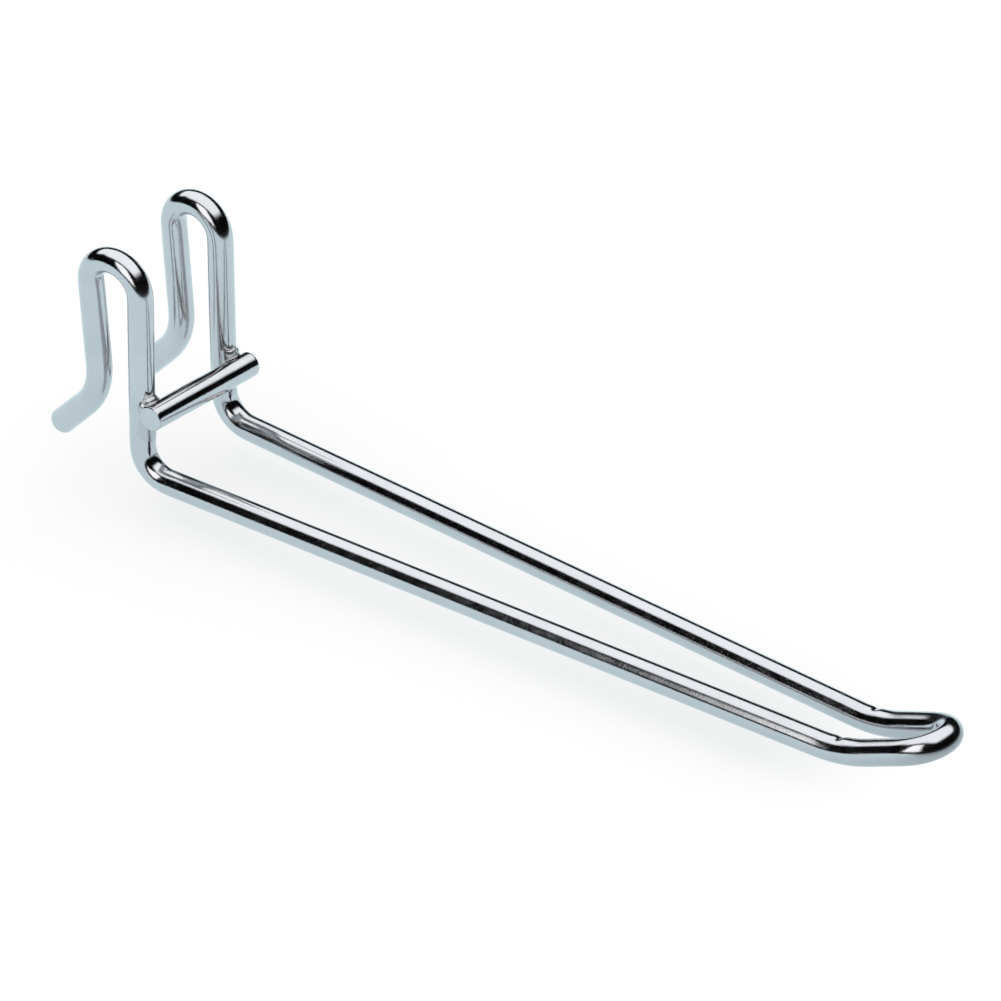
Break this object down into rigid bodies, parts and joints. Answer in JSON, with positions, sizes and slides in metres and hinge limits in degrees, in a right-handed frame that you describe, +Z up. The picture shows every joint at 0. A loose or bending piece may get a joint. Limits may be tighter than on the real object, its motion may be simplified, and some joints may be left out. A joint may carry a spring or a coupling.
{
  "type": "double-prong display hook",
  "caption": "Chrome wire display hook that hangs over a rail, with a looped prong turned up at its tip and a welded cross bar.",
  "frame": {"origin": "the middle of the rail's top edge, where both hooks come to rest, half way between the two hooks", "axes": "+Z up, -Y the way the prongs point, X along the rail; the two hooks are mirror images across X = 0"},
  "size_m": [0.0375, 0.238, 0.0594],
  "materials": {
    "chrome_wire": "bright chrome plate over drawn steel wire",
    "chrome_bar": "bright chrome plate over drawn steel rod",
    "chrome_weld": "chrome plate over an uneven weld, slightly duller"
  },
  "bodies": {
    "root": {"hook_wire": "chrome_wire", "cross_bar": "chrome_bar", "weld_left": "chrome_weld", "weld_right": "chrome_weld"}
  },
  "joints": []
}
